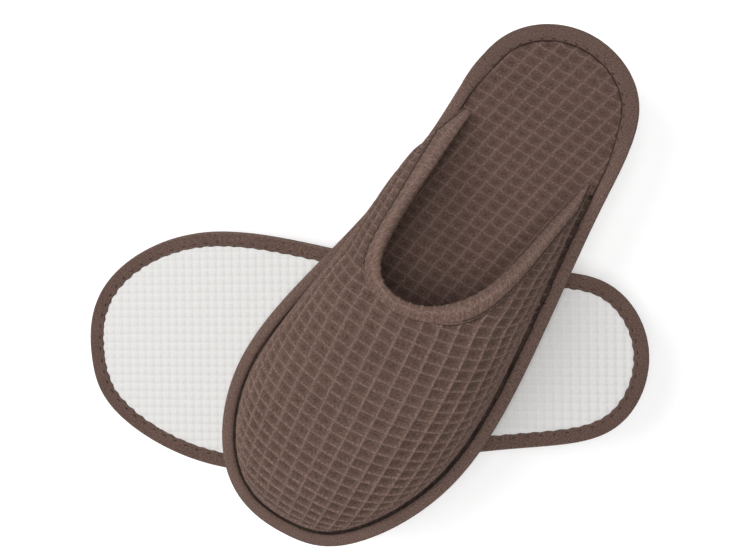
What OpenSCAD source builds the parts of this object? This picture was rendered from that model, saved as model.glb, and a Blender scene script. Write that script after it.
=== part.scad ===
// A pair of quilted spa slippers, stored one on the other.  The lower slipper lies upside
// down on its pressed upper, and the top slipper stands on the sole of the lower one.
// Each slipper is drawn in its own frame first: x points at the toe, y to the little toe's
// side and z up from the underside of the sole.  Then it is placed in the pair's frame.

/* [Sole] */
// Length of the sole, over its binding
sole_len = 280; // [230:1:320]
// Greatest width of the sole, over its binding
sole_w = 122; // [100:1:140]
// Thickness of the closed-cell foam outsole
outsole_t = 4; // [3:0.5:8]
// Thickness of the cushion foam
foam_t = 3; // [1:0.5:8]
// Thickness of the waffle cloth over the cushion foam
insole_t = 1; // [0.5:0.1:2]

/* [Upper] */
// Thickness of the waffle cloth on the outside of the upper
cover_t = 0.9; // [0.5:0.1:2]
// Thickness of the soft padding inside the upper
padding_t = 1.6; // [0.5:0.1:4]
// Thickness of the lining against the foot
lining_t = 0.4; // [0.2:0.1:1]
// Thickness of all three layers where they are pressed flat under the binding
flange_t = 1.5; // [0.8:0.1:3]
// Height of the throat's front above the insole
throat_h = 46.5; // [30:0.5:70]
// Width of the throat behind its rounded front
throat_w = 52; // [36:1:70]
// How far the throat's front lies ahead of the middle of the sole
throat_front = 9; // [-20:1:40]
// How far the wing tips lie behind the middle of the sole
wing_back = 80; // [60:1:95]
// Height of a wing tip above the insole
wing_tip_h = 3; // [2:0.5:6]
// How far the throat's edge leans in over the insole at a wing tip
wing_lean = 3; // [2:0.5:6]
// How far the arch's side bellies out over the binding
side_belly = 9; // [0:0.5:10]

/* [Binding and hem] */
// Thickness of the binding tape
tape_t = 0.8; // [0.4:0.1:1.5]
// Width of the tape under the sole
tape_under_w = 8; // [6:0.5:12]
// Width of the tape beside the upper
tape_toe_w = 6.3; // [4:0.1:8]
// Width of the tape on the insole round the heel
tape_heel_w = 8.5; // [6:0.5:12]
// Width of the hem strip on each side of the throat's edge
hem_w = 9; // [5:0.5:14]
// Thickness of the hem strip
hem_t = 0.6; // [0.3:0.1:1.2]
// Radius of the sewing thread
thread_r = 0.3; // [0.2:0.05:0.5]
// Distance from a seam's thread to the edge of its tape or hem
seam_in = 1.4; // [1:0.1:3]

/* [Pair] */
// Height that the lower slipper's upper is pressed to, above its insole
pressed_h = 28; // [20:1:36]
// Turn of the lower slipper from the top one, seen from above
lower_turn = -57.6; // [-90:0.1:90]
// Place of the lower slipper's middle from the top one's, across the top slipper
lower_x = -14.2; // [-60:0.1:60]
// Place of the lower slipper's middle from the top one's, along the top slipper
lower_y = -45.8; // [-60:0.1:60]
// Air between the two soles
sole_gap = 0.3; // [0.2:0.05:1]

/* [Hidden] */

waffle_brown = [0.45, 0.36, 0.32];
hem_brown = [0.43, 0.34, 0.3];
tape_brown = [0.37, 0.28, 0.25];
thread_brown = [0.2, 0.15, 0.13];
lining_brown = [0.30, 0.23, 0.20];
foam_cream = [0.9, 0.88, 0.82];
sole_white = [0.93, 0.93, 0.92];

// Heights of the layers above the underside of the sole
rim_z = thread_r + tape_t;
foam_z = outsole_t;
insole_z = foam_z + foam_t;
insole_top = insole_z + insole_t;
flange_top = insole_top + flange_t;
// The upper's layers, as depths below its outer face
cover_in = cover_t;
padding_in = cover_in + padding_t;
lining_in = padding_in + lining_t;
// The crease between the tape's edge and the foot of the upper, and where the upper rises
wall_air = 2.2;
wall_in = tape_toe_w + wall_air;
// Air between the pressed edge of the upper and the fold of the tape
flange_air = 0.3;
// Underside-to-insole height of the pressed upper, where the lower slipper rests
pressed_top = insole_top + pressed_h;
// Half of the height over which the upper rounds off into its pressed face
press_round = 6;
// Share of their full thickness that the layers keep at a wing tip
tip_squeeze = 0.4;
// Where the arch's side bulges over the tape, as a place round the U and a reach each way
belly_at = 0.87;
belly_reach = 0.19;

// Corners of the curve that the sole's edge follows, round from the heel
SOLE_CORNERS = [
    [-147, -2], [-128, 44], [-77, 45], [2, 58], [75, 64], [131, 32],
    [140, 4], [139, -39], [80, -72], [-5, -47], [-73, -38], [-123, -43],
];
SPANS = len(SOLE_CORNERS);
// Points along each span of the edge
SPAN_STEPS = 6;
EDGE_STEPS = SPANS * SPAN_STEPS;
// The vamp's grid: stations round the U, and rows from the wall's foot to the hem's edge
STATIONS = 32;
WALL_ROWS = 7;
HEM_ROWS = 2;

// ---- Curves ----

function blend(f) = [
    pow(1 - f, 3),
    3 * pow(f, 3) - 6 * pow(f, 2) + 4,
    -3 * pow(f, 3) + 3 * pow(f, 2) + 3 * f + 1,
    pow(f, 3),
] / 6;
// A point on the closed spline through a ring of corners
function ring_at(c, s) =
    let (n = len(c), i = floor(s), w = blend(s - i))
    w[0] * c[(i + n - 1) % n] + w[1] * c[i % n] + w[2] * c[(i + 1) % n] + w[3] * c[(i + 2) % n];
// A corner of an open row, which goes on past both ends in a straight line
function row_corner(c, i) =
    i < 0 ? 2 * c[0] - c[1]
    : i >= len(c) ? 2 * c[len(c) - 1] - c[len(c) - 2]
    : c[i];
// A point on the open spline, from its first corner to its last
function row_at(c, v) =
    let (i = min(floor(v), len(c) - 2), w = blend(v - i))
    w[0] * row_corner(c, i - 1) + w[1] * c[i] + w[2] * c[i + 1] + w[3] * row_corner(c, i + 2);
function mix(a, b, f) = a * (1 - f) + b * f;
function ease(f) = let (k = min(1, max(0, f))) k * k * (3 - 2 * k);
function unit(v) = v / norm(v);
function flatten(rows) = [for (row = rows) each row];

// ---- The sole's edge ----

RAW_EDGE = [for (i = [0 : EDGE_STEPS - 1]) ring_at(SOLE_CORNERS, i / SPAN_STEPS)];
RAW_LO = [min([for (p = RAW_EDGE) p.x]), min([for (p = RAW_EDGE) p.y])];
RAW_HI = [max([for (p = RAW_EDGE) p.x]), max([for (p = RAW_EDGE) p.y])];
EDGE_CORNERS = [
    for (c = SOLE_CORNERS)
        let (p = c - (RAW_LO + RAW_HI) / 2)
        [p.x * sole_len / (RAW_HI.x - RAW_LO.x), p.y * sole_w / (RAW_HI.y - RAW_LO.y)]
];
function edge_at(s) = ring_at(EDGE_CORNERS, s);
function edge_out(s) = let (d = unit(edge_at(s + 0.05) - edge_at(s + SPANS - 0.05))) [-d.y, d.x];
// A point inside the edge, measured square to it
function edge_in(s, inset) = edge_at(s) - inset * edge_out(s);
function edge_in3(s, inset, z) = let (p = edge_in(s, inset)) [p.x, p.y, z];
function sole_outline(inset) = [for (i = [0 : EDGE_STEPS - 1]) edge_in(i / SPAN_STEPS, inset)];
// Where the edge passes a given x, between two places on one side of the sole
function edge_find(x, heelward, toeward, tries = 16) =
    let (s = (heelward + toeward) / 2)
    tries == 0 ? s
    : edge_at(s).x < x ? edge_find(x, s, toeward, tries - 1)
    : edge_find(x, heelward, s, tries - 1);
// The wing tips' places on the edge, on the little toe's side and on the big toe's side
s_outer = edge_find(-wing_back, 1, 4);
s_inner = edge_find(-wing_back, 11, 8);

// ---- The throat's edge ----

function throat_tip(s) = edge_in3(s, wall_in + wing_lean, wing_tip_h);
// A corner of the throat's rounded front: how far back it is, its share of the width
// to the little toe's side, and its share of the height
function throat_front_corner(back, side, lift) =
    [throat_front - back, side * throat_w, lift * throat_h];
OUTER_TIP = throat_tip(s_outer);
INNER_TIP = throat_tip(s_inner);
OUTER_SIDE = throat_front_corner(23, 0.46, 0.9);
INNER_SIDE = throat_front_corner(23, -0.54, 0.9);
THROAT_CORNERS = [
    OUTER_TIP,
    mix(OUTER_TIP, OUTER_SIDE, 0.5) + [0, 0, 1.5],
    OUTER_SIDE,
    throat_front_corner(4, 0.17, 1),
    throat_front_corner(-2, -0.15, 1.01),
    throat_front_corner(3, -0.44, 1),
    INNER_SIDE,
    mix(INNER_TIP, INNER_SIDE, 0.5) + [0, 0, 1.5],
    INNER_TIP,
];

// ---- The upper's outer face ----
// q runs from 0 at the outer wing tip, round the toe, to 1 at the inner wing tip.
// r runs from 0 at the wall's foot to 1 at the throat's edge.

function edge_place(q) = mix(s_outer, s_inner, q - 0.5 * sin(360 * q) / (2 * PI));
function throat_at(q) = row_at(THROAT_CORNERS, q * (len(THROAT_CORNERS) - 1));
// The sides stand up squarely and the toe slopes
function fullness(q) = 2 / mix(mix(1.75, 2.4, q), 1.8, pow(sin(180 * q), 4));
function press(z, limit) =
    z < limit - press_round ? z
    : z > limit + press_round ? limit
    : limit - pow(limit + press_round - z, 2) / (4 * press_round);
function wall_point(q, r) =
    let (
        s = edge_place(q),
        foot = edge_in3(s, wall_in, 0),
        edge = throat_at(q),
        k = fullness(q),
        across = 1 - pow(cos(90 * r), k),
        up = pow(sin(90 * r), k),
        belly = side_belly * ease(1 - abs(q - belly_at) / belly_reach) * sin(180 * sqrt(r)),
        out = edge_out(s) * belly
    )
    [
        mix(foot.x, edge.x, across) + out.x,
        mix(foot.y, edge.y, across) + out.y,
        flange_top + edge.z * up,
    ];
// The hem's outer edge, as a share of the way up to the throat's edge
function hem_start(q) =
    let (foot = edge_in3(edge_place(q), wall_in, 0))
    max(0.4, 1 - hem_w / (1.1 * norm(throat_at(q) - foot)));
function column_shares(q) =
    let (h = hem_start(q))
    [
        for (j = [0 : WALL_ROWS]) h * j / WALL_ROWS,
        for (j = [1 : HEM_ROWS]) mix(h, 1, j / HEM_ROWS),
    ];
function column(q, pressed) =
    let (s = edge_place(q), shares = column_shares(q), wall = [for (r = shares) wall_point(q, r)])
    [
        edge_in3(s, tape_t + flange_air, flange_top),
        edge_in3(s, wall_in - 1, flange_top),
        for (j = [0 : len(wall) - 1])
            let (p = wall[j], limit = pressed_top - (j < WALL_ROWS ? 0 : hem_t))
            pressed ? [p.x, p.y, press(p.z, limit)] : p,
    ];
function outer_face(pressed) = [for (i = [0 : STATIONS]) column(i / STATIONS, pressed)];
// Rows of the grid that lie flat under the tape, and rows in all
FLAT_ROWS = 2;
ROWS = FLAT_ROWS + WALL_ROWS + 1 + HEM_ROWS;
HEM_ROW = FLAT_ROWS + WALL_ROWS;

function face_normal(g, i, j) =
    j < FLAT_ROWS ? [0, 0, 1]
    : let (
        along = g[min(i + 1, STATIONS)][j] - g[max(i - 1, 0)][j],
        up = g[i][min(j + 1, ROWS - 1)] - g[i][j - 1]
    )
    unit(cross(up, along));
function face_normals(g) = [for (i = [0 : STATIONS]) [for (j = [0 : ROWS - 1]) face_normal(g, i, j)]];
// The layers are pressed flat under the tape, and thin at the wing tips
function squeeze(i, j) =
    j < FLAT_ROWS ? flange_t / lining_in
    : mix(tip_squeeze, 1, ease(8 * min(i, STATIONS - i) / STATIONS));
function face_at_depth(g, normals, depth) = [
    for (i = [0 : STATIONS])
        [for (j = [0 : ROWS - 1]) g[i][j] - normals[i][j] * depth * squeeze(i, j)]
];
TOP_FACE = outer_face(false);
TOP_NORMALS = face_normals(TOP_FACE);
LOWER_FACE = outer_face(true);
LOWER_NORMALS = face_normals(LOWER_FACE);
function shell_face(pressed) = pressed ? LOWER_FACE : TOP_FACE;
function shell_normals(pressed) = pressed ? LOWER_NORMALS : TOP_NORMALS;
function upper_face(pressed, depth) =
    face_at_depth(shell_face(pressed), shell_normals(pressed), depth);

// ---- Solids from grids ----

function quad(a, b, c, d) = [[a, b, c], [a, c, d]];
// A closed sheet between two faces of the same grid
module sheet(outer, inner) {
    n = len(outer);
    m = len(outer[0]);
    under = n * m;
    outer_faces = [
        for (i = [0 : n - 2], j = [0 : m - 2])
            each quad(i * m + j, (i + 1) * m + j, (i + 1) * m + j + 1, i * m + j + 1)
    ];
    inner_faces = [for (f = outer_faces) [f[2] + under, f[1] + under, f[0] + under]];
    rim = [
        for (i = [0 : n - 1]) i * m,
        for (j = [1 : m - 1]) (n - 1) * m + j,
        for (i = [n - 2 : -1 : 0]) i * m + m - 1,
        for (j = [m - 2 : -1 : 1]) j,
    ];
    rim_faces = [
        for (k = [0 : len(rim) - 1])
            let (a = rim[k], b = rim[(k + 1) % len(rim)])
            each quad(a, a + under, b + under, b)
    ];
    polyhedron(
        points = concat(flatten(outer), flatten(inner)),
        faces = concat(outer_faces, inner_faces, rim_faces)
    );
}
// A section carried from ring to ring, joined up or closed at both ends.  The first half
// of a section's points faces its second half, so the end is a row of four-sided faces.
// From its point turn_at on, the sides are split the other way, as in a sheet they lie on.
module sweep(rings, joined, turn_at = 1000) {
    n = len(rings);
    m = len(rings[0]);
    sides = [
        for (i = [0 : joined ? n - 1 : n - 2], j = [0 : m - 1])
            let (a = i * m, b = (i + 1) % n * m, k = (j + 1) % m)
            each j < turn_at
                ? quad(a + j, b + j, b + k, a + k)
                : quad(b + j, b + k, a + k, a + j)
    ];
    end = [for (j = [0 : m / 2 - 2]) each quad(j, j + 1, m - 2 - j, m - 1 - j)];
    last = (n - 1) * m;
    ends = joined ? [] : concat(end, [for (f = end) [f[2] + last, f[1] + last, f[0] + last]]);
    polyhedron(points = flatten(rings), faces = concat(sides, ends));
}

// ---- Sub-parts, in a slipper's own frame ----

module outsole() {
    linear_extrude(outsole_t) polygon(sole_outline(tape_under_w));
    translate([0, 0, rim_z]) linear_extrude(outsole_t - rim_z) polygon(sole_outline(tape_t));
}
module cushion_foam() {
    translate([0, 0, foam_z]) linear_extrude(foam_t) polygon(sole_outline(tape_t));
}
module insole_cover() {
    translate([0, 0, insole_z]) linear_extrude(insole_t) polygon(sole_outline(tape_t));
}
module vamp_cover(pressed) {
    sheet(shell_face(pressed), upper_face(pressed, cover_in));
}
module vamp_padding(pressed) {
    sheet(upper_face(pressed, cover_in), upper_face(pressed, padding_in));
}
module vamp_lining(pressed) {
    sheet(upper_face(pressed, padding_in), upper_face(pressed, lining_in));
}

// The hem wraps the throat's edge: down the outside, round the edge, down the inside
function hem_ring(g, inner, normals, i) =
    let (
        last = ROWS - 1,
        past = unit(g[i][last] - g[i][last - 1]) * hem_t,
        edge_normal = normals[i][last] * hem_t
    )
    [
        for (j = [HEM_ROW : last - 1]) g[i][j] + normals[i][j] * hem_t,
        g[i][last] + edge_normal + past,
        inner[i][last] - edge_normal + past,
        for (j = [last - 1 : -1 : HEM_ROW]) inner[i][j] - normals[i][j] * hem_t,
        for (j = [HEM_ROW : last]) inner[i][j],
        for (j = [last : -1 : HEM_ROW]) g[i][j],
    ];
module throat_hem(pressed) {
    face = shell_face(pressed);
    normals = shell_normals(pressed);
    inner = upper_face(pressed, lining_in);
    against_cover = 3 * (HEM_ROWS + 1);
    rings = [for (i = [0 : STATIONS]) hem_ring(face, inner, normals, i)];
    sweep(rings, false, against_cover);
}
// A four-sided thread round each centre, which lies along a row of the grid
function thread_ring(centre, out, side) = [
    centre + out * thread_r, centre + side * thread_r,
    centre - out * thread_r, centre - side * thread_r,
];
function hem_thread_ring(face, normals, i, sign) =
    let (
        n = normals[i][HEM_ROW],
        up = unit(face[i][HEM_ROW + 1] - face[i][HEM_ROW]),
        centre = face[i][HEM_ROW] + sign * n * (hem_t - thread_r) + up * seam_in
    )
    thread_ring(centre, sign * n, up * sign);
module hem_stitching(pressed) {
    normals = shell_normals(pressed);
    outside = shell_face(pressed);
    inside = upper_face(pressed, lining_in);
    run = [1 : STATIONS - 1];
    sweep([for (i = run) hem_thread_ring(outside, normals, i, 1)], false);
    sweep([for (i = run) hem_thread_ring(inside, normals, i, -1)], false);
}

// The tape lies higher where it covers the pressed edge of the upper
tape_ramp = 0.5;
function beside_upper(s) =
    ease((s - s_outer) / tape_ramp + 1.2) * ease((s_inner - s) / tape_ramp + 1.2);
function tape_top(s) = mix(insole_top, flange_top, beside_upper(s)) + tape_t;
function tape_top_w(s) = mix(tape_heel_w, tape_toe_w, beside_upper(s));
// The tape's outer face from under the sole, round the edge and onto the top,
// as distances in from the edge and heights
function tape_outside(s) =
    let (top = tape_top(s))
    [
        [tape_under_w, thread_r], [1.3, thread_r], [0.35, thread_r + 0.35], [0, thread_r + 1.4],
        [0, top - 1.4], [0.35, top - 0.35], [1.3, top], [tape_top_w(s), top],
    ];
function tape_inside(s) =
    let (under = tape_top(s) - tape_t)
    [[tape_top_w(s), under], [tape_t, under], [tape_t, rim_z], [tape_under_w, rim_z]];
function on_edge(s, section) = [for (p = section) edge_in3(s, p[0], p[1])];
module edge_binding() {
    sweep([
        for (i = [0 : EDGE_STEPS - 1])
            let (s = i / SPAN_STEPS)
            on_edge(s, concat(tape_outside(s), tape_inside(s)))
    ], true);
}
// The tape's end laps over its beginning on the side and the top, just behind the inner wing
lap_first = 0;
lap_steps = 2;
function lap_section(s) =
    let (
        side = [for (k = [3 : 7]) tape_outside(s)[k]],
        out = [[-1, 0], [-1, 0], [-0.7, 0.7], [0, 1], [0, 1]],
        over = [for (k = [0 : 4]) side[k] + out[k] * tape_t]
    )
    concat(over, [for (k = [4 : -1 : 0]) side[k]]);
module binding_lap() {
    start = ceil(s_inner * SPAN_STEPS) + lap_first;
    sweep([
        for (i = [start : start + lap_steps])
            let (s = i / SPAN_STEPS)
            on_edge(s, lap_section(s))
    ], false);
}
function tape_thread_ring(s, inset, z) =
    let (centre = edge_in3(s, inset, z), side = edge_out(s))
    thread_ring(centre, [0, 0, -1], [side.x, side.y, 0]);
module binding_stitching() {
    places = [for (i = [0 : 2 : EDGE_STEPS - 1]) i / SPAN_STEPS];
    sweep([for (s = places) tape_thread_ring(s, tape_under_w - seam_in, thread_r)], true);
    sweep([for (s = places) tape_thread_ring(s, tape_top_w(s) - seam_in, tape_top(s))], true);
}

// ---- Placing the two slippers ----

toe_down = -90;
function turned(p, a) = [p.x * cos(a) - p.y * sin(a), p.x * sin(a) + p.y * cos(a)];
TOP_PLAN = [for (p = sole_outline(0)) turned(p, toe_down)];
LOWER_PLAN = [for (p = sole_outline(0)) turned(p, toe_down + lower_turn) + [lower_x, lower_y]];
PLAN = concat(TOP_PLAN, LOWER_PLAN);
plan_x = (min([for (p = PLAN) p.x]) + max([for (p = PLAN) p.x])) / 2;
plan_y = (min([for (p = PLAN) p.y]) + max([for (p = PLAN) p.y])) / 2;
module on_top() {
    translate([-plan_x, -plan_y, pressed_top + sole_gap]) rotate([0, 0, toe_down]) children();
}
module turned_over() {
    translate([lower_x - plan_x, lower_y - plan_y, pressed_top])
        rotate([0, 0, toe_down + lower_turn])
        mirror([0, 0, 1])
        children();
}

module top_outsole() { color(sole_white) on_top() outsole(); }
module top_cushion_foam() { color(foam_cream) on_top() cushion_foam(); }
module top_insole_cover() { color(waffle_brown) on_top() insole_cover(); }
module top_vamp_lining() { color(lining_brown) on_top() vamp_lining(false); }
module top_vamp_padding() { color(foam_cream) on_top() vamp_padding(false); }
module top_vamp_cover() { color(waffle_brown) on_top() vamp_cover(false); }
module top_throat_hem() { color(hem_brown) on_top() throat_hem(false); }
module top_hem_stitching() { color(thread_brown) on_top() hem_stitching(false); }
module top_edge_binding() { color(tape_brown) on_top() edge_binding(); }
module top_binding_lap() { color(tape_brown) on_top() binding_lap(); }
module top_binding_stitching() { color(thread_brown) on_top() binding_stitching(); }
module lower_outsole() { color(sole_white) turned_over() outsole(); }
module lower_cushion_foam() { color(foam_cream) turned_over() cushion_foam(); }
module lower_insole_cover() { color(waffle_brown) turned_over() insole_cover(); }
module lower_vamp_lining() { color(lining_brown) turned_over() vamp_lining(true); }
module lower_vamp_padding() { color(foam_cream) turned_over() vamp_padding(true); }
module lower_vamp_cover() { color(waffle_brown) turned_over() vamp_cover(true); }
module lower_throat_hem() { color(hem_brown) turned_over() throat_hem(true); }
module lower_hem_stitching() { color(thread_brown) turned_over() hem_stitching(true); }
module lower_edge_binding() { color(tape_brown) turned_over() edge_binding(); }
module lower_binding_lap() { color(tape_brown) turned_over() binding_lap(); }
module lower_binding_stitching() { color(thread_brown) turned_over() binding_stitching(); }

top_outsole();
top_cushion_foam();
top_insole_cover();
top_vamp_lining();
top_vamp_padding();
top_vamp_cover();
top_throat_hem();
top_hem_stitching();
top_edge_binding();
top_binding_lap();
top_binding_stitching();
lower_outsole();
lower_cushion_foam();
lower_insole_cover();
lower_vamp_lining();
lower_vamp_padding();
lower_vamp_cover();
lower_throat_hem();
lower_hem_stitching();
lower_edge_binding();
lower_binding_lap();
lower_binding_stitching();
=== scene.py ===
# %% [markdown]
# # A pair of waffle-cloth spa slippers
# A closed-toe spa slipper is a sandwich of soft sheets: an embossed foam sole, a cushion, a
# waffle cloth to stand on, and a padded upper of the same cloth, all held at the edge by one
# folded tape. This lesson builds two of them. The lower one lies upside down, pressed flat by
# its own weight, and the top one stands across it. Every sheet is made the way it is cut
# and sewn, so that the waffle's ridges run as the threads of the cloth do.

# %% Load the frame
import math

import bmesh
import bpy
import numpy as np
from mathutils import Matrix, Quaternion, Vector
from mathutils.bvhtree import BVHTree


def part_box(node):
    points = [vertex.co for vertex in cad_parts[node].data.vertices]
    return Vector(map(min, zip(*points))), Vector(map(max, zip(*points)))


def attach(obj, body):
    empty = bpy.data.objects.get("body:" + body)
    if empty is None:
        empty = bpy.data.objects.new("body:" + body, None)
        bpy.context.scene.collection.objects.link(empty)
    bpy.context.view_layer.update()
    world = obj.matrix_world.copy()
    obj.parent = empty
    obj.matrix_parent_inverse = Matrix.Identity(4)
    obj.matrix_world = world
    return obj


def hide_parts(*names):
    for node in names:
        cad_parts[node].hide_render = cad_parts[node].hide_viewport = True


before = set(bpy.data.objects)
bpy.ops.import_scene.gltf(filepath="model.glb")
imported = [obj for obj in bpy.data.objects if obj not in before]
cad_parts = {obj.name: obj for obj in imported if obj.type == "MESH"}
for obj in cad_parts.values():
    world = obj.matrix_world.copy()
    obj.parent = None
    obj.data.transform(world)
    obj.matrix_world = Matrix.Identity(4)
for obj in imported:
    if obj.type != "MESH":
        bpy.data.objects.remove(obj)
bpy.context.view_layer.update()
scene = bpy.context.scene
MM = 0.001
print("CAD nodes:", len(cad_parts))

# %% [markdown]
# ## Where things are
# Each slipper is worked out in its own frame, in millimetres: x points at the toe, y at the
# little toe's side and z up from the underside of the sole. Its size and its place are read
# from the frame's boxes, so nothing has to be fitted by eye. The lower slipper is the same
# shape with its height turned over.

# %% Sizes from the frame
def box_mm(node):
    low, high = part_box(node)
    return np.array(low) / MM, np.array(high) / MM


tape_low, tape_high = box_mm("top_edge_binding")
sole_w, sole_len = (tape_high - tape_low)[:2]
sole_low = box_mm("top_outsole")[0][2]
foam_top = box_mm("top_cushion_foam")[1][2] - sole_low
insole_top = box_mm("top_insole_cover")[1][2] - sole_low
pressed_top = box_mm("lower_outsole")[1][2]
throat_h = 46.5
flange_t = 1.5
flange_top = insole_top + flange_t
TAPE_TOE_W, TAPE_HEEL_W, TAPE_UNDER_W = 6.3, 8.5, 8
wall_in = TAPE_TOE_W + 2.2
print(f"sole {sole_len:.0f} x {sole_w:.0f} mm, insole {insole_top:.1f} mm up")

# %% [markdown]
# ## The sole's edge
# A shoemaker draws the edge as one smooth curve. A closed spline through a dozen corners
# gives the same curve, and it can be asked for its direction anywhere, which is what the
# tape, the seams and the foot of the upper need.

# %% The edge as a spline
SOLE_CORNERS = np.array([
    [-147, -2], [-128, 44], [-77, 45], [2, 58], [75, 64], [131, 32],
    [140, 4], [139, -39], [80, -72], [-5, -47], [-73, -38], [-123, -43],
], float)
SPANS = len(SOLE_CORNERS)


def spline_weights(f):
    return np.stack([(1 - f) ** 3, 3 * f**3 - 6 * f**2 + 4, -3 * f**3 + 3 * f**2 + 3 * f + 1, f**3], -1) / 6


def ring_at(corners, s):
    i = np.floor(s).astype(int)
    around = (i[..., None] + np.arange(-1, 3)) % len(corners)
    return (spline_weights(s - i)[..., None] * corners[around]).sum(-2)


def row_at(corners, v):
    ends = [2 * corners[0] - corners[1], *corners, 2 * corners[-1] - corners[-2]]
    i = np.clip(np.floor(v).astype(int), 0, len(corners) - 2)
    around = i[..., None] + np.arange(0, 4)
    return (spline_weights(v - i)[..., None] * np.array(ends)[around]).sum(-2)


def unit(v):
    return v / np.maximum(np.linalg.norm(v, axis=-1, keepdims=True), 1e-9)


def smooth(f):
    k = np.clip(f, 0, 1)
    return k * k * (3 - 2 * k)


def mix(a, b, f):
    return a * (1 - f) + b * f


def run_along(points):
    """The length along a row of points, from 0 at the first of them."""
    return np.concatenate([[0], np.cumsum(np.linalg.norm(np.diff(points, axis=0), axis=1))])


raw_edge = ring_at(SOLE_CORNERS, np.arange(72) / 6)
raw_low, raw_high = raw_edge.min(0), raw_edge.max(0)
EDGE_CORNERS = (SOLE_CORNERS - (raw_low + raw_high) / 2) * [sole_len, sole_w] / (raw_high - raw_low)


def edge_at(s):
    return ring_at(EDGE_CORNERS, np.asarray(s, float) % SPANS)


def edge_out(s):
    d = unit(edge_at(np.asarray(s) + 0.05) - edge_at(np.asarray(s) - 0.05))
    return np.stack([-d[..., 1], d[..., 0]], -1)


def edge_in(s, inset):
    return edge_at(s) - np.asarray(inset, float)[..., None] * edge_out(s)


def with_z(p, z):
    return np.concatenate([p, np.broadcast_to(np.asarray(z, float), p.shape[:-1])[..., None]], -1)


edge_s = np.linspace(0, SPANS, 1441)
edge_run = run_along(edge_at(edge_s))
print(f"the edge is {edge_run[-1]:.0f} mm round")

# %% [markdown]
# ## Placing a slipper
# The top slipper's toe points along -Y. The lower slipper is turned from it, and its height
# runs downwards from the sole. Turning the height over also turns every face inside out, so
# the pieces of the lower slipper get their faces reversed when they are built.

# %% Two slippers
lower_low, lower_high = box_mm("lower_edge_binding")


def slipper(name, turn, up, sole_z, low, high):
    c, s = math.cos(math.radians(turn)), math.sin(math.radians(turn))
    edge = edge_at(edge_s)
    x, y = edge[:, 0] * c - edge[:, 1] * s, edge[:, 0] * s + edge[:, 1] * c
    middle = (low[:2] + high[:2]) / 2 - [(x.min() + x.max()) / 2, (y.min() + y.max()) / 2]
    return {"name": name, "body": f"{name}_slipper", "c": c, "s": s, "up": up, "z": sole_z,
            "x": middle[0], "y": middle[1], "pressed": up < 0}


TOP = slipper("top", -90, 1, sole_low, tape_low, tape_high)
LOWER = slipper("lower", -147.6, -1, pressed_top, lower_low, lower_high)


def place(points, sl):
    p = np.asarray(points, float)
    x, y, z = p[..., 0], p[..., 1], p[..., 2]
    return np.stack([
        x * sl["c"] - y * sl["s"] + sl["x"],
        x * sl["s"] + y * sl["c"] + sl["y"],
        z * sl["up"] + sl["z"],
    ], -1) * MM


for sl in (TOP, LOWER):
    print(sl["name"], "slipper's middle at", round(sl["x"], 1), round(sl["y"], 1))

# %% [markdown]
# ## Camera, floor and light
# The camera looks almost straight down, with a slightly wide lens, so the toe that is nearer
# looks larger. It is placed from the middle of the top slipper's rim. The floor is pale. A
# wide light overhead does most of the work, and a smaller one at the left gives each cell of
# the waffle a light and a dark side. The surround is dim, so that it stays dark inside the
# upper.

# %% The camera
rim_up = 5
cam_from_rim = Vector((4.4, 11.2, 334.5)) * MM
cam_turn, cam_tilt_x, cam_tilt_y = 31.8, -0.52, 6.22
rim_middle = Vector((TOP["x"], TOP["y"], TOP["z"] + rim_up)) * MM
tilt = Vector((math.radians(cam_tilt_x), math.radians(cam_tilt_y), 0))
cam_data = bpy.data.cameras.new("camera")
cam_data.sensor_width = 36
cam_data.lens = 33.28
cam_data.clip_start = 0.02
camera = bpy.data.objects.new("camera", cam_data)
turn_quat = Quaternion((0, 0, 1), math.radians(cam_turn))
camera.matrix_world = (
    Matrix.Translation(rim_middle + cam_from_rim)
    @ (turn_quat @ Quaternion(tilt.normalized(), tilt.length)).to_matrix().to_4x4()
)
scene.collection.objects.link(camera)
scene.camera = camera
image_up = turn_quat @ Vector((0, 1, 0))
image_right = turn_quat @ Vector((1, 0, 0))
print("camera at", [round(v, 3) for v in camera.location])

# %% The floor and the lights
floor_mesh = bpy.data.meshes.new("floor")
bm = bmesh.new()
bmesh.ops.create_grid(bm, x_segments=1, y_segments=1, size=3)
bmesh.ops.translate(bm, verts=bm.verts, vec=(0, 0, -0.0005))
bm.to_mesh(floor_mesh)
bm.free()
floor = bpy.data.objects.new("floor", floor_mesh)
scene.collection.objects.link(floor)
floor_look = bpy.data.materials.new("floor_paper")
floor_look.use_nodes = True
floor_bsdf = floor_look.node_tree.nodes["Principled BSDF"]
floor_bsdf.inputs["Base Color"].default_value = (0.97, 0.97, 0.97, 1)
floor_bsdf.inputs["Roughness"].default_value = 0.9
floor_bsdf.inputs["Emission Color"].default_value = (1, 1, 1, 1)
floor_bsdf.inputs["Emission Strength"].default_value = 0.22
floor_mesh.materials.append(floor_look)

world = bpy.data.worlds.new("studio")
world.use_nodes = True
world.node_tree.nodes["Background"].inputs["Color"].default_value = (1, 1, 1, 1)
world.node_tree.nodes["Background"].inputs["Strength"].default_value = 0.14
scene.world = world
scene.view_settings.view_transform = "Standard"


def soft_light(name, place_m, size, power):
    data = bpy.data.lights.new(name, "AREA")
    data.shape = "DISK"
    data.size = size
    data.energy = power
    obj = bpy.data.objects.new(name, data)
    obj.location = place_m
    obj.rotation_euler = (-Vector(place_m)).to_track_quat("-Z", "Y").to_euler()
    scene.collection.objects.link(obj)
    return obj


key_place = image_up * 0.25 - image_right * 0.65 + Vector((0, 0, 0.9))
soft_light("key_light", key_place, 0.6, 4.6)
soft_light("overhead_light", Vector((0, 0, 1.6)), 1.1, 17)
print("key light at", [round(v, 2) for v in key_place])

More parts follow.
